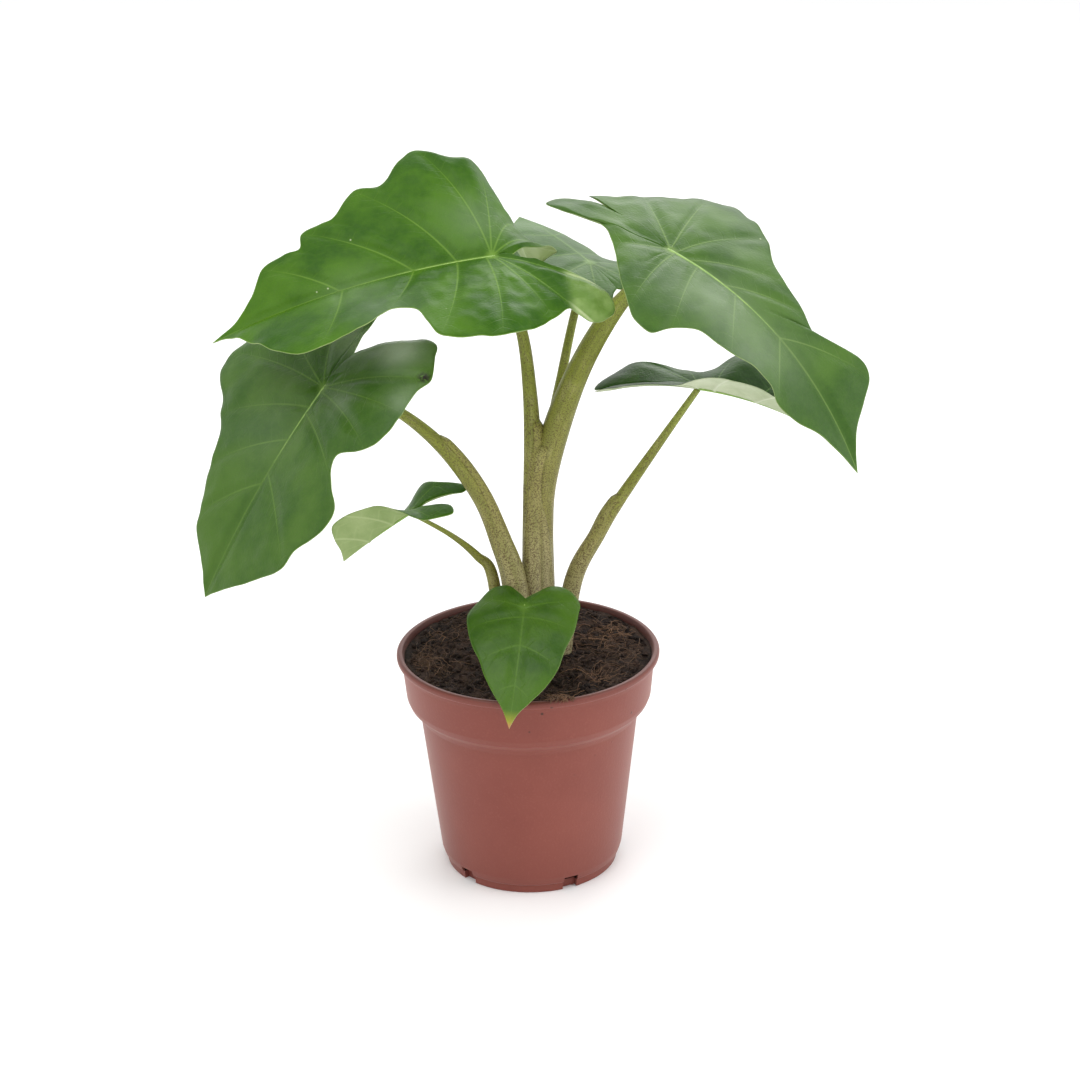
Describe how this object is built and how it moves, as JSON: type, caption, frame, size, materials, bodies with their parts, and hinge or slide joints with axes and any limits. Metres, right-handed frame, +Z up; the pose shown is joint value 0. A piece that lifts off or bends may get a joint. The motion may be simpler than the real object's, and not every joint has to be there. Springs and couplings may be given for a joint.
{
  "type": "potted alocasia",
  "caption": "Young alocasia in a plastic nursery pot: arrow-shaped leaves on speckled stalks that rise from potting mix.",
  "frame": {"origin": "on the pot's axis, in the plane that the pot's feet stand on", "axes": "+Z up along the pot's axis, +X to the right of the front view, -Y towards the front, where the smallest leaf hangs over the rim"},
  "size_m": [0.2889, 0.1813, 0.3269],
  "materials": {
    "pot_plastic": "moulded terracotta-brown polypropylene, low sheen",
    "potting_mix": "damp dark peat with loose brown coir fibres",
    "stalk": "olive-yellow plant skin with fine dark speckles, satin",
    "leaf": "waxy green leaf with pale veins, matte pale underside"
  },
  "bodies": {
    "root": {"pot": "pot_plastic", "potting_mix": "potting_mix", "stalk_upper_left": "stalk", "stalk_lower_left": "stalk", "stalk_upper_right": "stalk", "stalk_back": "stalk", "stalk_small_right": "stalk", "stalk_small_left": "stalk", "stalk_front": "stalk", "blade_upper_left": "leaf", "blade_lower_left": "leaf", "blade_upper_right": "leaf", "blade_back": "leaf", "blade_small_right": "leaf", "blade_small_left": "leaf", "blade_front": "leaf"}
  },
  "joints": []
}
